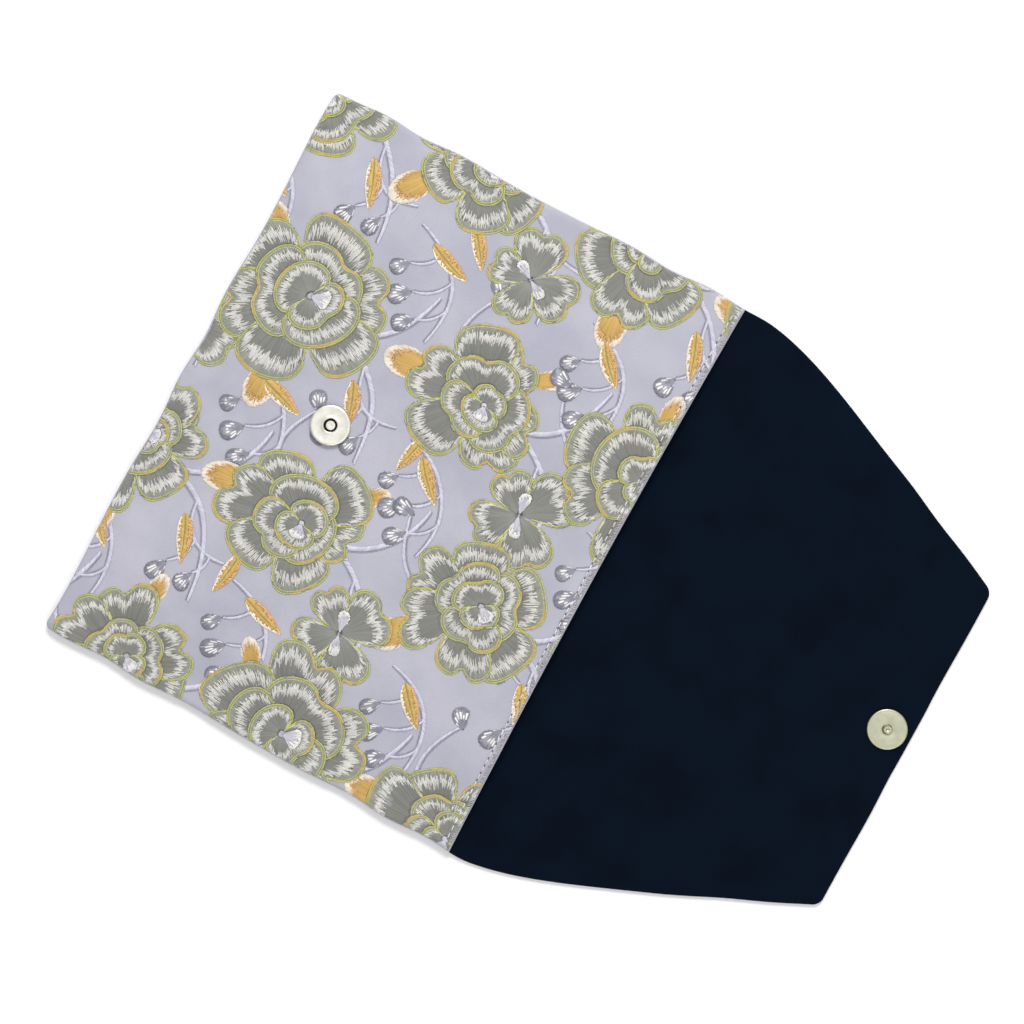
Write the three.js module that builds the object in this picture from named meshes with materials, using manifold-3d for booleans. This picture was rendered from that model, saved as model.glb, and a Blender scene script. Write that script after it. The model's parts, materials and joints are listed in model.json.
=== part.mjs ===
// A soft envelope pouch: embroidered cloth outside, fleece interlining, cotton lining, a fold-over
// flap and a magnetic snap. It lies open on its back, with the flap flat.
// Millimetres. X runs across the pouch, Y from its bottom edge towards the flap's tip, Z up.
// Every piece is drawn with the bottom edge at y = 0, and the whole pouch is centred at the end.

import * as THREE from 'three';
import { mergeVertices } from 'three/addons/utils/BufferGeometryUtils.js';
import Module from 'manifold-3d';

const wasm = await Module();
wasm.setup();

// ---- Driving dimensions ----

const bottomWidth = 268;
const mouthWidth = 272;
const mouthHeight = 203.5; // from the bottom edge to the corners of the mouth
const mouthBow = 2; // how far the mouth's edge dips at its middle
const totalLength = 358; // from the bottom edge to the flap's tip
const cornerRadius = 3;

const outerThickness = 0.6;
const fleeceThickness = 0.9;
const liningThickness = 0.4;
const plyGap = 0.3;
const pocketHeight = 4.5; // clear height inside, away from the seams
const rampLength = 50; // the front panel rises over this length from each seam

const flapTaper = 0.46; // the flap's side runs in by this much for each millimetre outwards
const flapShoulder = 12.6; // and starts this much wider, because its shoulders are rounded
const flapShoulderLength = 26;
const shoulderStart = 206; // where the shoulders begin

const seamInset = 1.5; // from an edge to the cloth that is turned in along it
const seamWidth = 9;
const hingeGap = 0.3; // between pieces that fold against each other

const snapRadius = 9;
const snapOffset = -3.5; // the snap was set by hand, a little to one side
const snapFromTip = 11.4;

// ---- Levels and places worked out from them ----

const wall = outerThickness + fleeceThickness + liningThickness + 2 * plyGap;
const fleeceLevel = outerThickness + plyGap;
const liningLevel = fleeceLevel + fleeceThickness + plyGap;
const seamGap = 0.3; // left between the two linings at the side and bottom seams
const frontTop = 2 * wall + pocketHeight;

// The flap turns over the mouth on two fold lines, just above the lining, with the spine between.
const foldLift = 0.4;
const foldClearance = 0.8;
const foldLevel = wall + foldLift;
const spineLength = frontTop + foldClearance + wall - 2 * foldLevel;
const spineFold = mouthHeight + 0.5;
const flapFold = spineFold + spineLength;

// The socket lies as far inside the first fold line as the stud lies outside the second.
const studPlace = new THREE.Vector2(snapOffset, totalLength - snapFromTip);
const socketPlace = new THREE.Vector2(snapOffset, spineFold - (studPlace.y - flapFold));

// ---- Materials ----

const cloth = (color) => new THREE.MeshStandardMaterial({ color, roughness: 0.9, metalness: 0 });
const nickel = (color) => new THREE.MeshStandardMaterial({ color, roughness: 0.3, metalness: 1 });

const embroideredCloth = cloth(0xbebccd);
const fleece = cloth(0xf0eee8);
const navyLining = cloth(0x0a121f);
const turnedCloth = cloth(0xaaa8ba);
const thread = cloth(0xd8d4dc);
const plating = nickel(0xcfccc4);
const springSteel = nickel(0xa9a9a6);
const magnetite = new THREE.MeshStandardMaterial({ color: 0x2a2a2c, roughness: 0.6, metalness: 0.4 });

// ---- Shared helpers ----

const smooth = (t) => {
  const c = THREE.MathUtils.clamp(t, 0, 1);
  return c * c * (3 - 2 * c);
};

function piece(name, geometry, material) {
  const mesh = new THREE.Mesh(geometry, material);
  mesh.name = name;
  return mesh;
}

// A flat sheet or plate with the given outline.
function plate(outline, level, thickness, curveSegments = 14) {
  const geometry = new THREE.ExtrudeGeometry(outline, {
    depth: thickness,
    bevelEnabled: false,
    curveSegments,
  });
  return geometry.translate(0, 0, level);
}

function toSolid(geometry) {
  const bare = geometry.clone();
  bare.deleteAttribute('normal');
  bare.deleteAttribute('uv');
  const merged = mergeVertices(bare, 1e-4);
  return new wasm.Manifold(new wasm.Mesh({
    numProp: 3,
    vertProperties: new Float32Array(merged.attributes.position.array),
    triVerts: new Uint32Array(merged.index.array),
  }));
}

function fromSolid(solid) {
  const mesh = solid.getMesh();
  const geometry = new THREE.BufferGeometry();
  geometry.setAttribute('position', new THREE.BufferAttribute(mesh.vertProperties, 3));
  geometry.setIndex(new THREE.BufferAttribute(mesh.triVerts, 1));
  geometry.computeVertexNormals();
  return geometry;
}

const joined = (geometries) => geometries.map(toSolid).reduce((sum, solid) => sum.add(solid));

function cut(geometry, cutters) {
  const solid = cutters.map(toSolid).reduce((rest, cutter) => rest.subtract(cutter), toSolid(geometry));
  return fromSolid(solid);
}

function rectangle(centreX, centreY, width, height) {
  const shape = new THREE.Shape();
  shape.moveTo(centreX - width / 2, centreY - height / 2);
  shape.lineTo(centreX + width / 2, centreY - height / 2);
  shape.lineTo(centreX + width / 2, centreY + height / 2);
  shape.lineTo(centreX - width / 2, centreY + height / 2);
  shape.closePath();
  return shape;
}

function circle(place, radius) {
  const shape = new THREE.Shape();
  shape.absarc(place.x, place.y, radius, 0, 2 * Math.PI);
  return shape;
}

// ---- Outlines ----

const pouchHalfWidth = (y) => THREE.MathUtils.lerp(bottomWidth, mouthWidth, y / mouthHeight) / 2;

function flapHalfWidth(y) {
  const out = Math.max(y - shoulderStart, 0);
  const shoulder = flapShoulder * (1 - Math.exp(-out / flapShoulderLength));
  return mouthWidth / 2 - flapTaper * out + shoulder;
}

// The mouth's edge across the front panel, lowest at the middle.
const mouthEdge = (x) => mouthHeight - mouthBow * (1 - (2 * x / mouthWidth) ** 2);

// The back panel: a slight trapezium with rounded bottom corners.
function backOutline(inset) {
  const top = spineFold - hingeGap / 2;
  const low = pouchHalfWidth(0) - inset;
  const high = pouchHalfWidth(top) - inset;
  const shape = new THREE.Shape();
  shape.moveTo(high, top);
  shape.lineTo(-high, top);
  shape.lineTo(-low, inset + cornerRadius);
  shape.quadraticCurveTo(-low, inset, -low + cornerRadius, inset);
  shape.lineTo(low - cornerRadius, inset);
  shape.quadraticCurveTo(low, inset, low, inset + cornerRadius);
  shape.closePath();
  return shape;
}

function spineOutline(inset) {
  const half = mouthWidth / 2 - inset;
  return rectangle(0, (spineFold + flapFold) / 2, 2 * half, spineLength - hingeGap);
}

// Points up the flap's right side, across its tip and down its left side.
function flapEdge(inset) {
  const start = flapFold + hingeGap / 2;
  const end = totalLength - inset;
  const steps = 12;
  const sideInset = inset * Math.hypot(1, flapTaper);
  const right = [];
  for (let i = 0; i <= steps; i += 1) {
    const y = THREE.MathUtils.lerp(start, end, i / steps);
    right.push(new THREE.Vector2(flapHalfWidth(y) - sideInset, y));
  }
  const left = right.map((p) => new THREE.Vector2(-p.x, p.y)).reverse();
  return [...right, ...left];
}

function flapOutline(inset) {
  return new THREE.Shape(flapEdge(inset));
}

// The strip of cloth turned in along the flap's sides and tip.
function flapTurnedEdgeOutline() {
  const inner = flapEdge(seamInset + seamWidth).reverse();
  return new THREE.Shape([...flapEdge(seamInset), ...inner]);
}

// ---- The front panel's crown ----

// 0 at the sewn edges, 1 where the front panel stands clear of the back.
function crown(x, y) {
  const fromSide = pouchHalfWidth(y) - Math.abs(x);
  return smooth(fromSide / rampLength) * smooth(y / rampLength);
}

// The underside of the front lining.
const pocketCeiling = (x, y) => wall + seamGap + (pocketHeight - seamGap) * crown(x, y);

const spaced = (from, to, steps) => (
  Array.from({ length: steps + 1 }, (_, i) => THREE.MathUtils.lerp(from, to, i / steps))
);

// A sheet of even thickness, offset upwards from the pocket's ceiling. across gives the places of
// its facets' corners in X at a height y, and along gives their places in Y at x.
function crownedSheet({ across, along, offset, thickness }) {
  const columns = across(0).length - 1;
  const rows = along(0).length - 1;
  const positions = [];
  for (const lift of [offset, offset + thickness]) {
    for (let row = 0; row <= rows; row += 1) {
      for (const x of across(along(0)[row])) {
        const y = along(x)[row];
        positions.push(x, y, pocketCeiling(x, y) + lift);
      }
    }
  }
  const stride = columns + 1;
  const layer = stride * (rows + 1);
  const index = [];
  const quad = (a, b, c, d) => index.push(a, b, c, a, c, d);
  for (let row = 0; row < rows; row += 1) {
    for (let column = 0; column < columns; column += 1) {
      const a = row * stride + column;
      quad(a, a + stride, a + stride + 1, a + 1);
      quad(layer + a, layer + a + 1, layer + a + stride + 1, layer + a + stride);
    }
  }
  for (let column = 0; column < columns; column += 1) {
    const high = rows * stride + column;
    quad(column, column + 1, layer + column + 1, layer + column);
    quad(high + 1, high, layer + high, layer + high + 1);
  }
  for (let row = 0; row < rows; row += 1) {
    const first = row * stride;
    const last = first + columns;
    quad(first + stride, first, layer + first, layer + first + stride);
    quad(last, last + stride, layer + last + stride, layer + last);
  }
  const geometry = new THREE.BufferGeometry();
  geometry.setAttribute('position', new THREE.Float32BufferAttribute(positions, 3));
  geometry.setIndex(index);
  geometry.computeVertexNormals();
  return geometry;
}

const rampSteps = 8;

// Facets are narrow on the ramps beside the seams and wide on the level middle.
function acrossFront(inset) {
  return (y) => {
    const half = pouchHalfWidth(y);
    const ramp = spaced(half - inset, half - rampLength, rampSteps);
    const middle = spaced(rampLength - half, half - rampLength, 6).slice(1, -1);
    return [...ramp.map((x) => -x), ...middle, ...ramp.reverse()];
  };
}

function alongFront(inset, mouthInset) {
  const ramp = spaced(inset, rampLength, rampSteps);
  return (x) => [...ramp, ...spaced(rampLength, mouthEdge(x) - mouthInset, 5).slice(1)];
}

function frontSheet(inset, mouthInset, offset, thickness) {
  return crownedSheet({
    across: acrossFront(inset),
    along: alongFront(inset, mouthInset),
    offset,
    thickness,
  });
}

const turnedOffset = liningThickness + plyGap;
const outerOffset = turnedOffset + fleeceThickness + plyGap;
const frontOuterLevel = wall + pocketHeight + outerOffset;

// ---- Pieces of the pouch body ----

function backPieces() {
  return [
    piece('back_outer', plate(backOutline(0), 0, outerThickness), embroideredCloth),
    piece('back_interlining', plate(backOutline(seamInset), fleeceLevel, fleeceThickness), fleece),
    piece('back_lining', plate(backOutline(seamInset), liningLevel, liningThickness), navyLining),
  ];
}

function spinePieces() {
  return [
    piece('spine_outer', plate(spineOutline(0), 0, outerThickness), embroideredCloth),
    piece('spine_interlining', plate(spineOutline(seamInset), fleeceLevel, fleeceThickness), fleece),
    piece('spine_lining', plate(spineOutline(seamInset), liningLevel, liningThickness), navyLining),
  ];
}

function frontPieces() {
  const fleeceInset = 2 * seamInset + seamWidth;
  const outer = frontSheet(0, 0, outerOffset, outerThickness);
  const padding = frontSheet(fleeceInset, fleeceInset, turnedOffset, fleeceThickness);
  return [
    piece('front_outer', cut(outer, prongSlotCutters(socketPlace)), embroideredCloth),
    piece('front_interlining', cut(padding, [washerHoleCutter(socketPlace)]), fleece),
    piece('front_lining', frontSheet(seamInset, seamInset, 0, liningThickness), navyLining),
  ];
}

// The cloth beyond each seam, turned in between the front panel's outer and its lining.
function seamPieces() {
  const inner = seamInset + seamWidth;
  const clear = inner + seamInset;
  const level = { offset: turnedOffset, thickness: fleeceThickness };
  const sideAlong = alongFront(clear, clear);
  const left = crownedSheet({
    ...level,
    across: (y) => spaced(seamInset - pouchHalfWidth(y), inner - pouchHalfWidth(y), 2),
    along: sideAlong,
  });
  const right = crownedSheet({
    ...level,
    across: (y) => spaced(pouchHalfWidth(y) - inner, pouchHalfWidth(y) - seamInset, 2),
    along: sideAlong,
  });
  const bottom = crownedSheet({
    ...level,
    across: acrossFront(seamInset),
    along: () => spaced(seamInset, inner, 2),
  });
  const mouth = crownedSheet({
    ...level,
    across: acrossFront(seamInset),
    along: (x) => spaced(mouthEdge(x) - inner, mouthEdge(x) - seamInset, 1),
  });
  return [
    piece('left_seam_allowance', left, turnedCloth),
    piece('right_seam_allowance', right, turnedCloth),
    piece('bottom_seam_allowance', bottom, turnedCloth),
    piece('mouth_turned_edge', mouth, turnedCloth),
  ];
}

// One line of machine stitches along the mouth, a few millimetres in from its edge.
function topstitch() {
  const fromEdge = 3.5;
  const width = 0.5;
  const height = 0.3;
  const reach = mouthWidth / 2 - 3;
  const points = [];
  for (let i = -12; i <= 12; i += 1) {
    const x = reach * Math.sin((i / 12) * Math.PI / 2);
    const y = mouthEdge(x) - fromEdge;
    const z = pocketCeiling(x, y) + outerOffset + outerThickness + plyGap + height / 2;
    points.push(new THREE.Vector3(x, y, z));
  }
  const section = rectangle(0, 0, height, width);
  const geometry = new THREE.ExtrudeGeometry(section, {
    steps: 48,
    bevelEnabled: false,
    extrudePath: new THREE.CatmullRomCurve3(points),
  });
  return piece('mouth_topstitch', geometry, thread);
}

// ---- Pieces of the flap ----

function flapPieces() {
  const fleeceInset = 2 * seamInset + seamWidth;
  const padding = plate(flapOutline(fleeceInset), fleeceLevel, fleeceThickness);
  const lining = plate(flapOutline(seamInset), liningLevel, liningThickness);
  return [
    piece('flap_outer', plate(flapOutline(0), 0, outerThickness), embroideredCloth),
    piece('flap_interlining', cut(padding, [washerHoleCutter(studPlace)]), fleece),
    piece('flap_lining', cut(lining, prongSlotCutters(studPlace)), navyLining),
  ];
}

// The turned-in strip is trimmed away round the snap's washer.
function flapTurnedEdge() {
  const strip = plate(flapTurnedEdgeOutline(), fleeceLevel, fleeceThickness);
  return piece('flap_turned_edge', cut(strip, [washerHoleCutter(studPlace)]), turnedCloth);
}

// ---- The magnetic snap ----

const snapGap = 0.2;
const prongWidth = 3;
const prongThickness = 0.5;
const prongSpacing = 7; // between the two prongs
const prongFootLength = 3.5;
const discThickness = 0.35;
const discRadius = 7.5;
const washerThickness = 0.4;
const washerRadius = 8.5;
const washerHoleRadius = 9.2;
const socketHeight = 2.4;
const socketHoleRadius = 3;
const rivetRadius = 2.1;
const rivetTop = 0.8;
const studHeight = 1.2;
const postRadius = 2;
const postHeight = 2;
const roundSegments = 28;

function prongSlots(place) {
  const width = prongThickness + 2 * snapGap;
  const height = prongWidth + 2 * snapGap;
  return [-1, 1].map((side) => rectangle(place.x + side * prongSpacing / 2, place.y, width, height));
}

const tallerThanTheWalls = 20;

function prongSlotCutters(place) {
  return prongSlots(place).map((slot) => plate(slot, 0, tallerThanTheWalls));
}

function washerHoleCutter(place) {
  return plate(circle(place, washerHoleRadius), 0, tallerThanTheWalls);
}

// A disc under the snap's shell with two prongs, which go through the cloth and fold outwards
// over the washer. clothTop and clothBottom are the faces of the ply that the prongs go through.
function prongPlate(name, place, clothTop, clothBottom) {
  const discLevel = clothTop + snapGap;
  const footLevel = clothBottom - 2 * snapGap - washerThickness - prongThickness;
  const solids = [plate(circle(place, discRadius), discLevel, discThickness)];
  for (const side of [-1, 1]) {
    const legX = place.x + side * prongSpacing / 2;
    const footX = legX + side * (prongFootLength - prongThickness) / 2;
    const leg = rectangle(legX, place.y, prongThickness, prongWidth);
    const foot = rectangle(footX, place.y, prongFootLength, prongWidth);
    solids.push(plate(leg, footLevel, discLevel + discThickness / 2 - footLevel));
    solids.push(plate(foot, footLevel, prongThickness));
  }
  return piece(name, fromSolid(joined(solids)), springSteel);
}

function washer(name, place, clothBottom) {
  const disc = plate(circle(place, washerRadius), clothBottom - snapGap - washerThickness, washerThickness);
  return piece(name, cut(disc, prongSlotCutters(place)), springSteel);
}

// A round piece turned about its own upright axis. profile is a list of [radius, height].
function turned(name, place, level, profile, material) {
  const points = profile.map(([radius, height]) => new THREE.Vector2(radius, height));
  const geometry = new THREE.LatheGeometry(points, roundSegments).rotateX(Math.PI / 2);
  const mesh = piece(name, geometry, material);
  mesh.position.set(place.x, place.y, level);
  return mesh;
}

function socketPieces() {
  const shell = 0.5;
  const edge = 0.6;
  const rest = frontTop + snapGap;
  const cavityRadius = snapRadius - edge;
  const cap = [
    [cavityRadius, 0],
    [snapRadius, 0],
    [snapRadius, socketHeight - edge],
    [snapRadius - edge, socketHeight],
    [socketHoleRadius, socketHeight],
    [socketHoleRadius, socketHeight - shell],
    [cavityRadius, socketHeight - shell],
    [cavityRadius, 0],
  ];
  const magnetBottom = discThickness + 0.15;
  const magnetTop = socketHeight - shell - snapGap;
  const magnetBore = socketHoleRadius + 0.4;
  const magnet = [
    [magnetBore, magnetBottom],
    [discRadius, magnetBottom],
    [discRadius, magnetTop],
    [magnetBore, magnetTop],
    [magnetBore, magnetBottom],
  ];
  const rivetBottom = discThickness + 0.1;
  const rivet = [
    [0, rivetBottom],
    [rivetRadius, rivetBottom],
    [rivetRadius, rivetTop - 0.15],
    [rivetRadius - 0.15, rivetTop],
    [0, rivetTop],
  ];
  return [
    turned('socket_cap', socketPlace, rest, cap, plating),
    turned('socket_magnet', socketPlace, rest, magnet, magnetite),
    turned('socket_rivet', socketPlace, rest, rivet, plating),
    prongPlate('socket_prong_plate', socketPlace, frontTop, frontOuterLevel),
    washer('socket_washer', socketPlace, frontOuterLevel),
  ];
}

function studPieces() {
  const shell = 0.5;
  const edge = 0.6;
  const rest = wall + snapGap;
  const cavityRadius = snapRadius - edge;
  const stemRadius = 1.4;
  const stemHole = stemRadius + snapGap;
  const stemBottom = discThickness + 0.1;
  const postBottom = studHeight + 0.1;
  const postTop = studHeight + postHeight;
  const cup = [
    [cavityRadius, 0],
    [snapRadius, 0],
    [snapRadius, studHeight - shell],
    [snapRadius - shell, studHeight],
    [stemHole, studHeight],
    [stemHole, studHeight - shell],
    [cavityRadius, studHeight - shell],
    [cavityRadius, 0],
  ];
  const post = [
    [0, stemBottom],
    [stemRadius, stemBottom],
    [stemRadius, postBottom],
    [postRadius, postBottom],
    [postRadius, postTop - 0.4],
    [postRadius - 0.4, postTop],
    [0.8, postTop],
    [0, postTop - 0.4],
  ];
  return [
    turned('stud_plate', studPlace, rest, cup, plating),
    turned('stud_post', studPlace, rest, post, plating),
    prongPlate('stud_prong_plate', studPlace, wall, liningLevel),
    washer('stud_washer', studPlace, liningLevel),
  ];
}

// ---- Assembly ----

const pouchBody = new THREE.Group();
pouchBody.add(...backPieces(), ...frontPieces(), ...seamPieces(), topstitch(), ...socketPieces());

const spine = new THREE.Group();
spine.add(...spinePieces());

const flap = new THREE.Group();
flap.add(...flapPieces(), flapTurnedEdge(), ...studPieces());

const pouch = new THREE.Group();
pouch.add(pouchBody, spine, flap);
pouch.position.y = -totalLength / 2;

export default pouch;
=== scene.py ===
"""A soft envelope pouch lying open: embroidered lavender cloth outside, navy lining, a magnetic snap.

Lengths are in millimetres until a mesh is made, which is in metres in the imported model's frame:
+X along the bottom seam, +Y from the bottom seam to the flap's tip, +Z up. The front panel is on top.
"""
import json
import math

import bpy
import numpy as np
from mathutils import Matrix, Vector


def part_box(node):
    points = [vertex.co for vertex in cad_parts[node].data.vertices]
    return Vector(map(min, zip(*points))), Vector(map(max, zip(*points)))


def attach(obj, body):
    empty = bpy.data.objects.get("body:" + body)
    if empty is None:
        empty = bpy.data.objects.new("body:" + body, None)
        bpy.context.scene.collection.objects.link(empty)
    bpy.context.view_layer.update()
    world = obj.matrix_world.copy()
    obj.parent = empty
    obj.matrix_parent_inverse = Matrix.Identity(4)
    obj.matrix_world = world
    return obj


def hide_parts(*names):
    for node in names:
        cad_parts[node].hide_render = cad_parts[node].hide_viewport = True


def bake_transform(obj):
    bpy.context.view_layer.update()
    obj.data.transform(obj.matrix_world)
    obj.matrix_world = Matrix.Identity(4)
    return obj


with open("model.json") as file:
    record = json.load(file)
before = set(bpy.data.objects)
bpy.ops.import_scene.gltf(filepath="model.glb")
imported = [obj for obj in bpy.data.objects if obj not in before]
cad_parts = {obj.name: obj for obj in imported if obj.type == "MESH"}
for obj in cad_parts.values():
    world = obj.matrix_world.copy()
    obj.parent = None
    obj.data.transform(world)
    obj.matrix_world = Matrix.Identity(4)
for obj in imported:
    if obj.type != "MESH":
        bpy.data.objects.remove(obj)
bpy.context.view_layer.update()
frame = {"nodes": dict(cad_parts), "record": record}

MILLIMETRES = 1000.0


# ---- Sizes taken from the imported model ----

def node_box(name):
    """(lowest corner, highest corner) of a CAD node, in millimetres."""
    low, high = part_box(name)
    return np.array(low) * MILLIMETRES, np.array(high) * MILLIMETRES


def fold_place(name):
    """Where a fold's axis crosses the middle of the pouch, as (y, z) in millimetres."""
    joints = frame["record"]["behaviour"]["joints"]
    place = next(joint["pos_m"] for joint in joints if joint["name"] == name)
    return place[1] * MILLIMETRES, place[2] * MILLIMETRES


bottom_y = node_box("back_outer")[0][1]
tip_y = node_box("flap_outer")[1][1]
mouth_y = node_box("front_outer")[1][1]
mouth_half_width = node_box("front_outer")[1][0]
lining_top = node_box("back_lining")[1][2]
lining_ply = lining_top - node_box("back_lining")[0][2]
outer_ply = node_box("back_outer")[1][2]
front_top_level = node_box("front_outer")[1][2]
front_seam_level = node_box("front_outer")[0][2] + outer_ply
spine_fold_y, fold_level = fold_place("spine_fold")
flap_fold_y, _ = fold_place("flap_fold")
mid_spine_y = (spine_fold_y + flap_fold_y) / 2

# ---- Shape of the panels ----

bottom_narrowing = 2.0  # the bottom's half width is this much less than the mouth's
corner_radius = 3.0
mouth_bow = 2.0  # the mouth's edge dips by this much at its middle
ramp_length = 50.0  # the front rises over this length from each seam
seam_gap = 0.3  # between the two linings where the front starts to rise
flap_taper = 0.46
flap_shoulder = 12.6
flap_shoulder_length = 26.0
shoulder_start_y = bottom_y + 206.0

pillow_radius = 2.6  # how far in from a sewn edge the cloth rolls over
lining_roll = 1.8  # the same for the lining
seam_level = lining_top + seam_gap / 2  # where front and back cloth meet along a side
flap_seam_level = 1.4  # where cloth and lining meet along the flap's edge
seam_groove = 0.06
tuck = 0.02  # keeps a cloth's two faces apart where they meet in a seam
ply_gap = 0.05  # between the front cloth and the lining that lies against it
cloth_level = 0.78  # the back and flap cloth's face; its embroidery lies below this
crown_rise = front_top_level - front_seam_level
hem_radius = 1.3
seam_wander = 0.6  # the pouch's seams stray from their lines by up to this much
flap_wander = 0.2
topstitch_inset = 3.5
topstitch_pitch = 3.6
topstitch_dent = 0.28
topstitch_dent_width = 0.7
oversewing_pitch = 0.8
over_embroidery = 0.3  # the mouth's stitches lie this far above the cloth, on top of the embroidery
hem_inset = 2.0  # the front lining starts this far inside the mouth
lining_inset = 1.6  # and this far inside the sewn sides


def smooth(t):
    t = np.clip(t, 0.0, 1.0)
    return t * t * (3 - 2 * t)


def between(first, second, share):
    return first + (second - first) * share


def pouch_half_width(y):
    return mouth_half_width - bottom_narrowing * (mouth_y - y) / (mouth_y - bottom_y)


def flap_half_width(y):
    out = y - shoulder_start_y
    shoulder = flap_shoulder * (1 - np.exp(-out / flap_shoulder_length))
    return mouth_half_width - flap_taper * out + shoulder


def sharp_half_width(y):
    """Half the width of the back and flap at y, before the corners are rounded."""
    return np.where(y < shoulder_start_y, pouch_half_width(np.minimum(y, mouth_y)), flap_half_width(y))


def corner_loss(distance_to_end):
    """How much half width a rounded corner takes away, this far from the edge that it ends in."""
    inside = np.clip(corner_radius - distance_to_end, 0.0, corner_radius)
    return corner_radius - np.sqrt(np.maximum(corner_radius**2 - inside**2, 0.0))


def half_width(y):
    return sharp_half_width(y) - corner_loss(y - bottom_y) - corner_loss(tip_y - y)


def rounded_distance(side, end):
    """How far inside two edges a point lies, where the edges meet in a rounded corner."""
    in_corner = (side < corner_radius) & (end < corner_radius)
    round_corner = corner_radius - np.hypot(corner_radius - side, corner_radius - end)
    return np.where(in_corner, round_corner, np.minimum(side, end))


def edge_distance(x, y):
    """How far a point of the back or flap lies inside its outline."""
    return rounded_distance(sharp_half_width(y) - np.abs(x), np.minimum(y - bottom_y, tip_y - y))


def seam_distance(x, y):
    """How far a point of the front lies inside its side and bottom seams. The mouth isn't sewn."""
    return rounded_distance(pouch_half_width(y) - np.abs(x), y - bottom_y)


def mouth_edge(x):
    return mouth_y - mouth_bow * (1 - (x / mouth_half_width) ** 2)


def crown(x, y):
    """How far the front has risen at a place: 0 along its seams, 1 over its middle and at the mouth."""
    side = pouch_half_width(y) - np.abs(x)
    return smooth(side / ramp_length) * smooth((y - bottom_y) / ramp_length)


def rolled(distance, radius):
    """0 at an edge, rising like a quarter circle to 1 at radius inside it."""
    t = np.clip(distance / radius, 0.0, 1.0)
    return np.sqrt(np.maximum(1 - (1 - t) ** 2, 0.0))


# ---- Cloth simulation: how the padded cloth puffs and wrinkles between its seams ----

simulation_frames = 24
simulation_step = 4.0
front_pressure = 0.6
flap_pressure = 0.2
front_slack = 0.012  # how much longer the front's cloth is than the flat panel
flap_slack = 0.006
wrinkle_share = 0.5  # padding and embroidery hold the real cloth flatter than the simulated sheet


def evened(table, rounds=60):
    """The slow swell of a table of heights, without its wrinkles."""
    for _ in range(rounds):
        wide = np.pad(table, 1, mode="edge")
        beside = wide[:-2, 1:-1] + wide[2:, 1:-1] + wide[1:-1, :-2] + wide[1:-1, 2:]
        table = (beside + 4 * table) / 8
    return table


def add_cloth(obj, pinned_group, slack, pressure):
    """A Cloth modifier without gravity, whose sheet is longer than the mesh and pressed upwards."""
    cloth = obj.modifiers.new("cloth", "CLOTH")
    cloth.collision_settings.use_collision = False
    cloth.point_cache.frame_end = simulation_frames
    settings = cloth.settings
    settings.quality = 6
    settings.mass = 0.05
    settings.tension_stiffness = 20
    settings.compression_stiffness = 8
    settings.bending_stiffness = 0.4
    settings.shrink_min = -slack
    settings.vertex_group_mass = pinned_group
    settings.use_pressure = True
    settings.uniform_pressure_force = pressure
    settings.effector_weights.gravity = 0


class Relief:
    """Height differences on a panel, from a cloth simulation, as a table over (across, along)."""

    def __init__(self, low_y, high_y, width_at):
        self.low_y = low_y
        self.high_y = high_y
        self.width_at = width_at
        self.columns = int(2 * mouth_half_width / simulation_step)
        self.rows = int((high_y - low_y) / simulation_step)
        self.lift = np.zeros((self.rows + 1, self.columns + 1))

    def places(self):
        y = np.linspace(self.low_y, self.high_y, self.rows + 1)[:, None]
        across = np.linspace(-1, 1, self.columns + 1)[None, :]
        return across * self.width_at(y), y + 0 * across

    def at(self, x, y):
        """The lift at points, between the table's values."""
        column = np.clip((x / self.width_at(y) + 1) / 2, 0, 1) * self.columns
        row = np.clip((y - self.low_y) / (self.high_y - self.low_y), 0, 1) * self.rows
        left = np.minimum(column.astype(int), self.columns - 1)
        below = np.minimum(row.astype(int), self.rows - 1)
        across = smooth(column - left)
        along = smooth(row - below)
        near = self.lift[below, left] * (1 - across) + self.lift[below, left + 1] * across
        far = self.lift[below + 1, left] * (1 - across) + self.lift[below + 1, left + 1] * across
        return near * (1 - along) + far * along

    def settle(self, height, free_edge, slack, pressure):
        """Runs Cloth on the panel with its sewn edges pinned, and keeps the wrinkles that form."""
        x, y = self.places()
        z = height(x, y)
        count = x.size
        numbers = np.arange(count).reshape(x.shape)
        points = np.stack([x, y, z], axis=-1).reshape(-1, 3)
        obj = new_piece("settling_cloth", points, grid_faces(numbers))
        pinned = np.zeros(x.shape, bool)
        pinned[0, :] = pinned[:, 0] = pinned[:, -1] = True
        pinned[-1, :] = not free_edge
        group = obj.vertex_groups.new(name="sewn")
        group.add(numbers[pinned].tolist(), 1.0, "REPLACE")
        add_cloth(obj, "sewn", slack, pressure)
        for number in range(1, simulation_frames + 1):
            bpy.context.scene.frame_set(number)
        settled = obj.evaluated_get(bpy.context.evaluated_depsgraph_get()).to_mesh()
        places = np.zeros(count * 3)
        settled.vertices.foreach_get("co", places)
        risen = (places[2::3] * MILLIMETRES).reshape(x.shape) - z
        self.lift = wrinkle_share * (risen - evened(risen))
        bpy.data.meshes.remove(obj.data)
        bpy.context.scene.frame_set(1)


def plain_front(x, y):
    return front_seam_level + crown_rise * crown(x, y)


def plain_flap(x, y):
    return lining_top + 0 * x


front_relief = Relief(bottom_y, mouth_y, pouch_half_width)
flap_relief = Relief(flap_fold_y, tip_y, flap_half_width)

pucker_height = 0.22
pucker_reach = 9.0
side_pucker_pitch = 13.0
bottom_pucker_pitch = 15.0
lift_limit = 1.1
lift_at_mouth = 0.15
lift_limit_slope = 0.02  # the closed flap leaves this much more room for each millimetre from the mouth
held_flat = 15.0  # the snap's plates hold the cloth flat, less and less over this length from its rim


def node_centre(name):
    low, high = node_box(name)
    return (low[:2] + high[:2]) / 2


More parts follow.
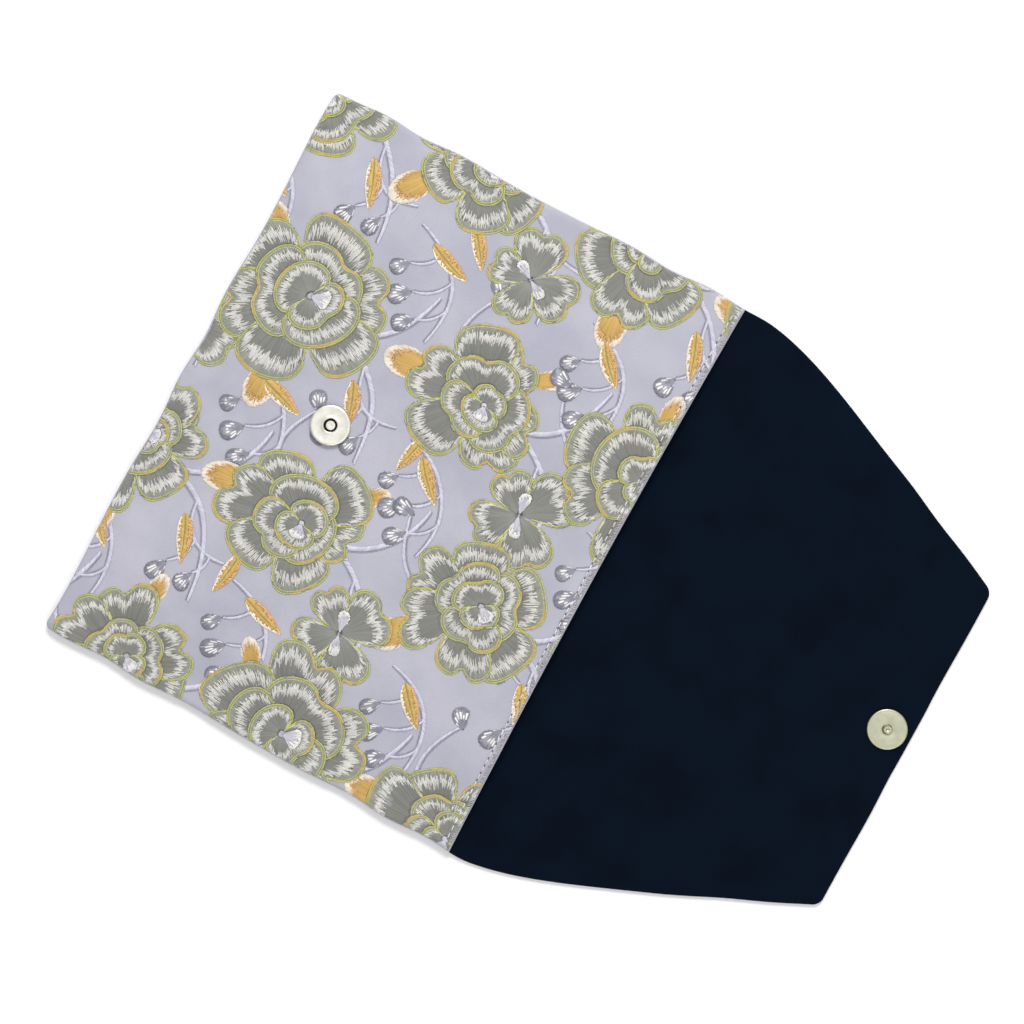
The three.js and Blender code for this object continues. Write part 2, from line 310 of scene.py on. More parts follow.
def node_radius_and_height(name):
    low, high = node_box(name)
    return (high[0] - low[0]) / 2, high[2] - low[2]


socket_centre = node_centre("socket_cap")
stud_centre = node_centre("stud_plate")
snap_radius, _ = node_radius_and_height("socket_cap")


def beside_snap(x, y, centre):
    """0 under a snap half, rising to 1 away from it."""
    return smooth((np.hypot(x - centre[0], y - centre[1]) - snap_radius) / held_flat)


def front_lift(x, y):
    """How far the wrinkles stand above or below the plain crown."""
    limit = np.minimum(lift_limit, lift_at_mouth + lift_limit_slope * (mouth_y - y))
    lift = front_relief.at(x, y) * limit / lift_limit
    return np.clip(lift, -0.6 * crown(x, y), limit) * beside_snap(x, y, socket_centre)


def puckers(along, distance, pitch):
    """Small gathers that a seam pulls into the cloth, which die out away from it."""
    gathers = np.sin(2 * math.pi * along / pitch + 1.7 * np.sin(along / (2.3 * pitch)))
    fading = (distance / pucker_reach) * np.exp(1 - distance / pucker_reach)
    return pucker_height * gathers * fading * (distance > 0)


def front_puckers(x, y):
    """The gathers along the front's side and bottom seams."""
    side = np.maximum(pouch_half_width(y) - np.abs(x), 0)
    bottom = np.maximum(y - bottom_y, 0)
    away_from_mouth = smooth((mouth_y - y) / 30)
    gathers = puckers(y, side, side_pucker_pitch) * away_from_mouth
    gathers = gathers + puckers(x, bottom, bottom_pucker_pitch)
    return gathers * beside_snap(x, y, socket_centre)


def front_face(x, y):
    """Height of the front panel's embroidered face."""
    mouth = mouth_edge(x) - y
    full = plain_front(x, y) + front_lift(x, y) + front_puckers(x, y)
    full = full - topstitch_dent * np.exp(-((mouth - topstitch_inset) / topstitch_dent_width) ** 2)
    inner = front_inner(x, y)
    hemmed = (full + inner) / 2 + (full - inner) / 2 * rolled(mouth, hem_radius)
    seam = seam_level + seam_groove
    return between(seam, hemmed, rolled(seam_distance(x, y), pillow_radius))


def pocket_ceiling(x, y):
    """Height of the front lining's underside."""
    return lining_top + seam_gap + crown_rise * crown(x, y) + front_lift(x, y) * smooth(crown(x, y) * 4)


def pocket_side(x, y):
    """Height of the front lining's upper face."""
    return pocket_ceiling(x, y) + lining_ply


def front_inner(x, y):
    """Height of the front cloth's inner face, where the lining lies against it."""
    return pocket_side(x, y) + ply_gap


def front_underside(x, y):
    """The inner face with its hem rolled up at the mouth and drawn down to the side seams."""
    mouth = mouth_edge(x) - y
    flat = front_inner(x, y)
    full = plain_front(x, y)
    hemmed = (full + flat) / 2 - (full - flat) / 2 * rolled(mouth, hem_radius) - tuck
    start = seam_level + seam_groove - tuck
    return between(start, hemmed, rolled(seam_distance(x, y), pillow_radius))


def edge_seam_level(y):
    """Height of the seam along the back's and the flap's edge."""
    return seam_level - seam_groove + (flap_seam_level - seam_level) * smooth((y - mouth_y + 6) / 14)


def outside_face(x, y):
    """Height of the back's and the flap's outer face, which is underneath."""
    edge = edge_seam_level(y)
    return between(edge, cloth_level, rolled(edge_distance(x, y), pillow_radius))


def outside_inner(x, y):
    """Height of the back and flap cloth's inner face, under the lining."""
    edge = edge_seam_level(y) + tuck
    inner = lining_top - lining_ply - 0.1
    return between(edge, inner, rolled(edge_distance(x, y), pillow_radius))


def flap_waves(x, y):
    """Slow waves in the flap's lining, kept low near the fold."""
    waves = 0.12 * np.sin(x / 19 + 0.6 * np.sin(y / 23)) * np.sin(y / 31 + x / 47)
    lift = np.clip(0.2 + flap_relief.at(x, y), 0.0, 0.45)
    calm = smooth((y - flap_fold_y) / 30) * smooth(edge_distance(x, y) / 12)
    return (waves + lift) * calm * beside_snap(x, y, stud_centre)


def lining_face(x, y):
    """Height of the back and flap lining's upper face."""
    edge = edge_seam_level(y) + 0.1
    ripple = 0.16 * np.sin(2 * math.pi * (x + y) / 17) * np.exp(-edge_distance(x, y) / 5)
    full = lining_top + flap_waves(x, y) - np.abs(ripple) * smooth((y - mouth_y) / 12)
    return between(edge, full, rolled(edge_distance(x, y), lining_roll))


def lining_back(x, y):
    """Height of the back and flap lining's underside."""
    edge = edge_seam_level(y) + 0.06
    return between(edge, lining_top - lining_ply, rolled(edge_distance(x, y), lining_roll))


# ---- Mesh building ----

def new_piece(name, points, faces, material_numbers=None, flat=False):
    """A mesh object from points in millimetres and an array of equal-sided faces."""
    corners = faces.shape[1]
    mesh = bpy.data.meshes.new(name)
    mesh.vertices.add(len(points))
    mesh.vertices.foreach_set("co", (points / MILLIMETRES).astype(np.float32).ravel())
    mesh.loops.add(faces.size)
    mesh.loops.foreach_set("vertex_index", faces.astype(np.int32).ravel())
    mesh.polygons.add(len(faces))
    mesh.polygons.foreach_set("loop_start", np.arange(0, faces.size, corners, dtype=np.int32))
    mesh.polygons.foreach_set("use_smooth", np.full(len(faces), not flat))
    if material_numbers is not None:
        mesh.polygons.foreach_set("material_index", material_numbers.astype(np.int32))
    mesh.update(calc_edges=True)
    mesh.validate()
    obj = bpy.data.objects.new(name, mesh)
    bpy.context.scene.collection.objects.link(obj)
    return obj


def hand_sewn(points):
    """Lets the seams wander. All soft plies shift by one slow field, so they stay together."""
    x, y, z = points.T
    stray = between(seam_wander, flap_wander, smooth((y - mouth_y) / 20))
    stray = stray * beside_snap(x, y, socket_centre) * beside_snap(x, y, stud_centre)
    away_from_spine = smooth((np.abs(y - mid_spine_y) - 8) / 30)
    across = np.sin(y / 9 + 1.4 * np.sin(y / 23) + x / 50)
    along = np.sin(x / 9.5 + 1.3 * np.sin(x / 27) + y / 60) * away_from_spine
    return np.column_stack([x + stray * across, y + stray * along, z])


def grid_faces(numbers):
    """Four-sided faces between the rows and columns of a grid of vertex numbers."""
    corners = [numbers[:-1, :-1], numbers[:-1, 1:], numbers[1:, 1:], numbers[1:, :-1]]
    return np.stack(corners, axis=-1).reshape(-1, 4)


def graded(low, high, step, rim, fine_steps=6):
    """Places from low to high about a step apart, close together over the rolled rim at each end."""
    fine = rim * (1 - np.cos(np.linspace(0, math.pi / 2, fine_steps + 1)))
    middle = np.linspace(low + rim, high - rim, max(2, round((high - low - 2 * rim) / step)))
    return np.concatenate([low + fine[:-1], middle, (high - fine[:-1])[::-1]])


def grid_places(low_y, high_y, width_at, step=2.0, end_at=None):
    """A grid of points that fills a panel, closer together towards its edges."""
    rim = pillow_radius
    rows = graded(low_y, high_y, step, 2.2 * rim, fine_steps=16)
    columns = graded(-1.0, 1.0, step / mouth_half_width, rim / mouth_half_width) * mouth_half_width
    in_rim = np.abs(columns) > mouth_half_width - rim
    width = width_at(rows)[:, None]
    scaled = columns * (width - rim) / (mouth_half_width - rim)
    from_edge = np.sign(columns) * (width - (mouth_half_width - np.abs(columns)))
    x = np.where(in_rim, from_edge, scaled)
    y = rows[:, None] + 0 * x
    if end_at is not None:
        y = low_y + (y - low_y) * (end_at(x) - low_y) / (high_y - low_y)
    return x, y


def panel(name, x, y, upper, lower):
    """A closed sheet over a grid, between two heights, with a rim all round."""
    numbers = np.arange(x.size).reshape(x.shape)
    top = np.stack([x, y, upper(x, y)], axis=-1).reshape(-1, 3)
    bottom = np.stack([x, y, lower(x, y)], axis=-1).reshape(-1, 3)
    top_faces = grid_faces(numbers)
    bottom_faces = top_faces[:, ::-1] + x.size
    loop = np.concatenate([numbers[0, :-1], numbers[:-1, -1], numbers[-1, :0:-1], numbers[:0:-1, 0]])
    following = np.roll(loop, -1)
    rim = np.stack([loop, loop + x.size, following + x.size, following], axis=-1)
    points = hand_sewn(np.concatenate([top, bottom]))
    return new_piece(name, points, np.concatenate([top_faces, bottom_faces, rim]))


def lathe(name, node, profile_of, segments=72):
    """A round piece turned about a CAD node's upright axis.

    profile_of gives a closed list of (radius, height) from the node's radius and height.
    """
    angles = np.linspace(0, 2 * math.pi, segments, endpoint=False)
    centre, level = node_centre(node), node_box(node)[0][2]
    radius, height = np.array(profile_of(*node_radius_and_height(node))).T
    points = np.stack([
        centre[0] + radius[:, None] * np.cos(angles),
        centre[1] + radius[:, None] * np.sin(angles),
        level + height[:, None] + 0 * angles,
    ], axis=-1).reshape(-1, 3)
    numbers = np.arange(len(points)).reshape(len(radius), segments)
    up = np.roll(numbers, -1, axis=0)
    faces = np.stack([numbers, np.roll(numbers, -1, axis=1), np.roll(up, -1, axis=1), up], axis=-1)
    return new_piece(name, points, faces.reshape(-1, 4))


def arc(across, up, radius, start, end, steps=6):
    """Profile points on a circle about (across, up), between two angles in degrees."""
    angles = np.radians(np.linspace(start, end, steps))
    return [(across + radius * math.cos(angle), up + radius * math.sin(angle)) for angle in angles]


# ---- Materials ----

class Nodes:
    """A material's node tree with short calls to add and link nodes."""

    def __init__(self, name):
        self.material = bpy.data.materials.new(name)
        self.material.use_nodes = True
        self.tree = self.material.node_tree
        self.shader = self.tree.nodes["Principled BSDF"]
        self.place = self.add("ShaderNodeTexCoord").outputs["Object"]

    def add(self, kind, **settings):
        node = self.tree.nodes.new(kind)
        for key, value in settings.items():
            setattr(node, key, value)
        return node

    def link(self, output, node, socket):
        self.tree.links.new(output, node.inputs[socket])

    def noise(self, size, detail=3.0):
        """Noise whose blotches are about size millimetres across."""
        node = self.add("ShaderNodeTexNoise")
        node.inputs["Scale"].default_value = MILLIMETRES / size
        node.inputs["Detail"].default_value = detail
        self.link(self.place, node, "Vector")
        return node.outputs["Fac"]

    def threads(self, pitch, direction):
        """Parallel ridges, pitch millimetres apart."""
        node = self.add("ShaderNodeTexWave", bands_direction=direction)
        node.inputs["Scale"].default_value = MILLIMETRES * 0.314 / pitch
        node.inputs["Distortion"].default_value = 1.2
        node.inputs["Detail Scale"].default_value = 1.5
        self.link(self.place, node, "Vector")
        return node.outputs["Fac"]

    def blend_colours(self, factor, first, second, low=0.35, high=0.65):
        ramp = self.add("ShaderNodeValToRGB")
        ramp.color_ramp.elements[0].position = low
        ramp.color_ramp.elements[0].color = (*first, 1)
        ramp.color_ramp.elements[1].position = high
        ramp.color_ramp.elements[1].color = (*second, 1)
        self.link(factor, ramp, "Fac")
        return ramp.outputs["Color"]

    def combine(self, operation, first, second):
        node = self.add("ShaderNodeMath", operation=operation)
        self.link(first, node, 0)
        self.link(second, node, 1)
        return node.outputs["Value"]

    def bump(self, height, depth, normal=None):
        """Pushes the surface in and out by about depth millimetres."""
        node = self.add("ShaderNodeBump")
        node.inputs["Distance"].default_value = depth / MILLIMETRES
        self.link(height, node, "Height")
        if normal is not None:
            self.link(normal, node, "Normal")
        return node.outputs["Normal"]

    def vary(self, socket, factor, low, high):
        """Drives a shader input between two values by a pattern."""
        node = self.add("ShaderNodeMapRange")
        node.inputs["To Min"].default_value = low
        node.inputs["To Max"].default_value = high
        self.link(factor, node, "Value")
        self.link(node.outputs["Result"], self.shader, socket)

    def set(self, **values):
        for name, value in values.items():
            self.shader.inputs[name.replace("_", " ")].default_value = value


def linear(red, green, blue):
    """A colour as the shaders need it, from the usual 0 to 255 values."""
    values = np.array([red, green, blue]) / 255
    return tuple(np.where(values <= 0.04045, values / 12.92, ((values + 0.055) / 1.055) ** 2.4))


def woven_material(name, shade, light, pitch, roughness, sheen, gloss=0.25):
    """Plain-woven cloth: crossing threads, slubs and slow colour changes."""
    nodes = Nodes(name)
    colour = nodes.blend_colours(nodes.noise(26.0), shade, light)
    nodes.link(colour, nodes.shader, "Base Color")
    weave = nodes.combine("MULTIPLY", nodes.threads(pitch, "X"), nodes.threads(pitch, "Y"))
    slubs = nodes.combine("ADD", weave, nodes.noise(3.0 * pitch, 5.0))
    creases = nodes.bump(nodes.noise(18.0, 2.0), 0.5)
    nodes.link(nodes.bump(slubs, 0.12, creases), nodes.shader, "Normal")
    nodes.set(Roughness=roughness, Sheen_Weight=sheen, Sheen_Roughness=0.5, Specular_IOR_Level=gloss)
    return nodes.material


def thread_material(name, colour):
    """Shiny embroidery thread of one dye, with fine fibres, dulled in places by wear."""
    nodes = Nodes(name)
    nodes.vary("Roughness", nodes.noise(7.0, 4.0), 0.34, 0.52)
    nodes.link(nodes.bump(nodes.noise(0.22, 2.0), 0.03), nodes.shader, "Normal")
    nodes.set(Base_Color=(*colour, 1), Sheen_Weight=0.15, Sheen_Roughness=0.35, Specular_IOR_Level=0.45)
    return nodes.material


def metal_material(name, colour, roughness, grain):
    """Plated metal with fine rubbed grain and slight dulling."""
    nodes = Nodes(name)
    worn = nodes.blend_colours(nodes.noise(3.0, 4.0), colour, tuple(0.88 * c for c in colour))
    nodes.link(worn, nodes.shader, "Base Color")
    nodes.vary("Roughness", nodes.noise(1.2, 5.0), roughness, roughness + 0.16)
    nodes.link(nodes.bump(nodes.noise(0.35, 2.0), grain), nodes.shader, "Normal")
    nodes.set(Metallic=1.0)
    return nodes.material


lavender_tones = linear(173, 172, 186), linear(184, 183, 195)
navy_tones = linear(5, 14, 27), linear(6, 18, 32)
lavender = woven_material("lavender_cloth", *lavender_tones, pitch=0.55, roughness=0.85, sheen=0.12)
navy = woven_material("navy_lining", *navy_tones, pitch=0.5, roughness=0.92, sheen=0.0, gloss=0.06)
nickel = metal_material("nickel_plate", linear(238, 236, 224), 0.26, 0.01)
worn_nickel = metal_material("worn_nickel", linear(192, 192, 167), 0.3, 0.012)
steel = metal_material("spring_steel", linear(176, 176, 172), 0.34, 0.012)
# black for the magnet itself, and painted shade where the steel prong plate shows in the socket's hole
magnet_black_and_painted_shade = metal_material("magnet_black_and_painted_shade", linear(36, 36, 38), 0.5, 0.03)

# ---- Embroidery: every stitch is a real strand of thread ----

rope_stitch = 2.3
tints_each = 3
tint_spread = 0.09

thread_dyes = {
    "petal_grey": linear(157, 158, 147),
    "petal_shadow": linear(140, 140, 134),
    "petal_white": linear(238, 236, 232),
    "petal_lilac": linear(200, 198, 208),
    "outline_olive": linear(194, 195, 104),
    "outline_orange": linear(212, 162, 100),
    "leaf_gold": linear(207, 172, 98),
    "leaf_orange": linear(220, 178, 128),
    "leaf_cream": linear(236, 226, 212),
    "leaf_green": linear(150, 142, 84),
    "berry_grey": linear(138, 138, 150),
    "berry_light": linear(182, 180, 192),
    "stem_lilac": linear(208, 206, 220),
    "stem_shadow": linear(158, 156, 172),
    # painted shade: a dark dye for the shade in the needle holes between the mouth's topstitches
    "needle_hole_painted_shade": linear(104, 104, 118),
}
dye_numbers = {name: number for number, name in enumerate(thread_dyes)}
families = {
    "grey": ("petal_grey", "berry_grey", "berry_light"),
    "shadow": ("petal_shadow", "needle_hole_painted_shade"),
    "stem": ("stem_lilac", "stem_shadow"),
    "white": ("petal_white", "petal_lilac"),
    "colour": (
        "outline_olive", "outline_orange", "leaf_gold", "leaf_orange", "leaf_cream", "leaf_green",
    ),
}


def thread_tints():
    """For each dye, a few materials of slightly different brightness, in the dyes' order."""
    materials = []
    for name, colour in thread_dyes.items():
        for tint in range(tints_each):
            brightness = 1 + tint_spread * (tint - (tints_each - 1) / 2)
            tinted = tuple(min(1.0, c * brightness) for c in colour)
            materials.append(thread_material(f"thread_{name}_{tint}", tinted))
    return materials


# The columns of a table of stitches. The owner is the number of the patch that a stitch belongs to.
START_X, START_Y, END_X, END_Y, START_WIDTH, END_WIDTH, DYE, LAYER, ARCH, OWNER = range(10)
START = slice(START_X, START_Y + 1)
END = slice(END_X, END_Y + 1)


def middle_y(table):
    return (table[:, START_Y] + table[:, END_Y]) / 2


class Strands:
    """A growing table of straight stitches, which lie at a layer above the cloth and arch upwards."""

    def __init__(self):
        self.parts = []

    def add(self, start, end, width_start, width_end, dye, layer, arch, owner=0):
        count = len(start)
        columns = [
            start, end,
            np.broadcast_to(width_start, count)[:, None], np.broadcast_to(width_end, count)[:, None],
            np.full((count, 1), dye_numbers[dye]), np.full((count, 1), layer),
            np.full((count, 1), arch), np.full((count, 1), owner),
        ]
        self.parts.append(np.concatenate(columns, axis=1))

    def table(self):
        return np.concatenate(self.parts)


class Field:
    """A map of a stretch of cloth that says which patch of stitches is on top at each place."""

    cell = 0.4

    def __init__(self, low, high):
        self.low = np.array(low)
        columns, rows = (np.array(high) - self.low) / self.cell
        self.top = np.zeros((int(rows) + 2, int(columns) + 2), int)

    def lay(self, patch, owner):
        centre, reach = patch.extent()
        first = np.maximum((centre - reach - self.low) / self.cell, 0).astype(int)
        last = np.maximum((centre + reach - self.low) / self.cell, 0).astype(int) + 1
        window = self.top[first[1]:last[1], first[0]:last[0]]
        if window.size == 0:
            return
        x = self.low[0] + (first[0] + np.arange(window.shape[1])[None, :]) * self.cell
        y = self.low[1] + (first[1] + np.arange(window.shape[0])[:, None]) * self.cell
        window[patch.covers(x, y)] = owner

    def owner_at(self, x, y):
        column = np.round((x - self.low[0]) / self.cell).astype(int)
        row = np.round((y - self.low[1]) / self.cell).astype(int)
        inside = (column >= 0) & (row >= 0) & (column < self.top.shape[1]) & (row < self.top.shape[0])
        row = np.clip(row, 0, self.top.shape[0] - 1)
        column = np.clip(column, 0, self.top.shape[1] - 1)
        return np.where(inside, self.top[row, column], -1)


def direction(angle):
    return np.stack([np.cos(angle), np.sin(angle)], axis=-1)


def unit(vectors):
    return vectors / np.maximum(np.linalg.norm(vectors, axis=1), 1e-9)[:, None]


def quarter_turn(vectors):
    return np.stack([-vectors[:, 1], vectors[:, 0]], axis=-1)


def distances_along(path):
    return np.concatenate([[0], np.cumsum(np.linalg.norm(np.diff(path, axis=0), axis=1))])


def points_along(path, stops):
    travelled = distances_along(path)
    return np.stack([np.interp(stops, travelled, path[:, axis]) for axis in (0, 1)], axis=-1)


def rope(strands, path, dye, width, layer, owner):
    """Stem stitches along a path: each starts a little before the last one ends, and to one side."""
    length = distances_along(path)[-1]
    if length < rope_stitch:
        return
    points = points_along(path, np.linspace(0, length, int(length / rope_stitch) + 2))
    start, end = points[:-1], points[1:]
    along = unit(end - start)
    sideways = quarter_turn(along) * width * 0.14
    lead = along * rope_stitch * 0.3
    strands.add(start - lead - sideways, end + lead + sideways, width, width, dye, layer, 0.1, owner)


class Fan:
    """A petal or berry: stitches that spread from a point, with a rounded outer edge.

    across runs from -1 to 1 over the fan; reach is the outer radius at its middle. A notch splits
    the edge into two lobes, side makes one of them longer, and roundness and point shape the ends.
    """

    def __init__(self, centre, axis, spread, inner, reach, notch=0.0, roundness=5.0, side=0.0, point=0.5):
        self.centre = centre
        self.axis = axis
        self.spread = spread
        self.inner = inner
        self.reach = reach
        self.notch = notch
        self.roundness = roundness
        self.side = side
        self.point = point

    def edge(self, across):
        across = np.clip(across, -1, 1)
        rounded = np.maximum(1 - np.abs(across) ** self.roundness, 0) ** self.point
        lobes = 1 - self.notch * np.exp(-(across / 0.16) ** 2) + self.side * across
        return np.maximum(self.reach * (0.25 + 0.75 * rounded) * lobes, self.inner)

    def extent(self):
        return self.centre, self.reach * (1.05 + abs(self.side))

    def covers(self, x, y):
        dx, dy = x - self.centre[0], y - self.centre[1]
        turn = (np.arctan2(dy, dx) - self.axis + math.pi) % (2 * math.pi) - math.pi
        across = turn / self.spread
        radius = np.hypot(dx, dy)
        return (np.abs(across) <= 1) & (radius <= self.edge(across)) & (radius >= self.inner)

    def points(self, across, radius):
        return self.centre + direction(self.axis + self.spread * across) * radius[:, None]

    def outline(self, inset):
        across = np.linspace(-1, 1, 60)
        return self.points(across * (1 - 0.5 * inset / self.reach), self.edge(across) - inset)

    def lines(self, pitch):
        """Where each stitch line lies across the fan, and its width per millimetre of radius."""
        count = max(6, int(2 * self.spread * self.reach * 0.86 / pitch))
        return (np.arange(count) + 0.5) / count * 2 - 1, 2 * self.spread / count * 1.3

    def run(self, strands, across, outer, inner, width, dye, layer, owner):
        """One stitch on each line, between two radii."""
        kept = outer - inner > 0.4
        across, outer, inner = across[kept], outer[kept], inner[kept]
        outer_width, inner_width = np.maximum(outer * width, 0.22), np.maximum(inner * width, 0.22)
        strands.add(self.points(across, outer), self.points(across, inner), outer_width, inner_width,
                    dye, layer, 0.1, owner)

    def satin(self, strands, bands, pitch, layer, owner, rng):
        """Covers the fan with bands from its edge inwards. A band is (dye, depth, raggedness)."""
        across, width = self.lines(pitch)
        outer = self.edge(across)
        for dye, depth, raggedness in bands:
            ragged = raggedness * rng.uniform(-1, 1, len(across))
            inner = np.maximum(outer - np.maximum(depth + ragged, 0.6), self.inner)
            self.run(strands, across, outer + 0.15, inner - 0.3, width, dye, layer, owner)
            outer = inner

    def fringe(self, strands, dye, start, end, raggedness, pitch, layer, owner, rng):
        """Loose long and short threads laid over the satin, between two depths from the edge."""
        across, width = self.lines(pitch * 0.7)
        edge = self.edge(across)
        swell = 1 - 0.45 * np.abs(across) ** 3
        middle = edge - (start + end) / 2 + 0.5 * np.sin(across * 7 + self.axis * 5)
        half = (end - start) / 2 * swell
        outer = middle + half + raggedness * rng.uniform(-1.0, 0.8, len(across))
        inner = middle - half - raggedness * rng.uniform(-1.0, 1.0, len(across))
        inner = np.maximum(inner, self.inner)
        chosen = rng.random(len(across)) > 0.06
        self.run(strands, across[chosen], outer[chosen], inner[chosen], width * 0.8, dye, layer, owner)


class Leaf:
    """A pointed leaf with stitches that slant forward from its midrib on both sides."""

    def __init__(self, base, axis, length, width, curl=0.0):
        self.base = base
        self.along = direction(axis)
        self.across = np.array([-self.along[1], self.along[0]])
        self.length = length
        self.width = width
        self.curl = curl

    def half_width_at(self, travel):
        t = np.clip(travel, 0, 1)
        return self.width / 2 * np.sin(math.pi * t**0.8) ** 0.75

    def rib(self, travel):
        return self.curl * self.length * travel * (1 - travel)

    def extent(self):
        return self.base + self.along * self.length / 2, self.length * 0.7

    def covers(self, x, y):
        dx, dy = x - self.base[0], y - self.base[1]
        travel = (dx * self.along[0] + dy * self.along[1]) / self.length
        sideways = dx * self.across[0] + dy * self.across[1] - self.rib(travel)
        return (travel > 0) & (travel < 1) & (np.abs(sideways) < self.half_width_at(travel))

    def points(self, travel, sideways):
        travel = np.asarray(travel)
        off = sideways + self.rib(travel)
        return self.base + self.along * (travel * self.length)[:, None] + self.across * off[:, None]

    def stitch(self, strands, pitch, layer, owner, rng):
        count = max(8, int(self.length / pitch))
        root = np.linspace(-0.12, 0.93, count)
        lean = 0.16
        for side in (-1, 1):
            tip = np.clip(root + lean, 0.02, 0.99)
            reach = self.half_width_at(tip)
            middle = np.clip(0.6 + rng.uniform(-0.2, 0.2, count), 0.2, 0.9)
            rib_end = self.points(np.clip(root, 0, 1), np.zeros(count))
            edge_end = self.points(tip, side * reach)
            joint = between(rib_end, edge_end, middle[:, None])
            width = self.length * 1.05 / count * 1.3
            strands.add(rib_end, joint, width, width, "leaf_gold", layer, 0.1, owner)
            fringe_dye = "leaf_orange" if side > 0 else "leaf_cream"
            strands.add(joint, edge_end, width, width * 0.8, fringe_dye, layer, 0.05, owner)
        travel = np.linspace(0.02, 0.9, 24)
        rope(strands, self.points(travel, np.zeros(24)), "leaf_green", 0.7, layer + 0.12, owner)


# ---- The floral pattern: generic flowers in a half-drop repeat ----

repeat_across = 87.0
repeat_along = 81.0
peony_radius = 34.0
small_flower_radius = 25.0
petal_layer = 0.07
petal_pitch = 0.55
outside_pitch = 1.5 * petal_pitch  # the back and the flap's outside are stitched more coarsely
whole_depth = 60.0  # deeper than any fan, so the last band fills what is left of it

# Rings of a peony, the outermost first: petals, reach and inner radius as shares of the flower's
# radius, overlap between petals, and how far the ring's centre has drifted.
peony_rings = (
    (6, 1.0, 0.3, 1.22, 0.0),
    (3, 0.64, 0.12, 1.3, 0.07),
    (2, 0.36, 0.04, 1.12, 0.12),
)

# A small flower's petals: direction, reach as a share of the flower's radius, and half their spread.
small_flower_petals = ((0.62, 0.98, 0.84), (2.5, 1.0, 0.86), (3.9, 0.84, 0.7), (5.4, 0.9, 0.72))

# The berries that hang in a repeat's two gaps: where the stalk starts and ends, and their length.
first_gap_berries = (((-8, 3), (6, -4), 11.5), ((-5, 12), (5, 8), 10.5))
second_gap_berries = (((-4, 11), (7, -2), 12.0), ((8, 15), (17, 5), 11.0), ((-14, 2), (-3, -9), 10.0))


def peony_petals(centre, radius, turn, rng):
    """Rings of overlapping petals. Each ring sits a little off the last one's centre."""
    petals = []
    for ring, (count, reach, inner, overlap, drift) in enumerate(peony_rings):
        ring_centre = centre + direction(turn + 0.9) * drift * radius
        for number in range(count):
            axis = turn + 2 * math.pi * (number + 0.37 * ring) / count + rng.uniform(-0.2, 0.2)
            length = radius * reach * rng.uniform(0.86, 1.1)
            notch = 0.13 if rng.random() < 0.5 else 0.0
            side = rng.uniform(-0.16, 0.16)
            spread = math.pi / count * overlap
            petal = Fan(ring_centre, axis, spread, radius * inner, length, notch, 4.5, side)
            petals.append((ring, petal))
    return petals


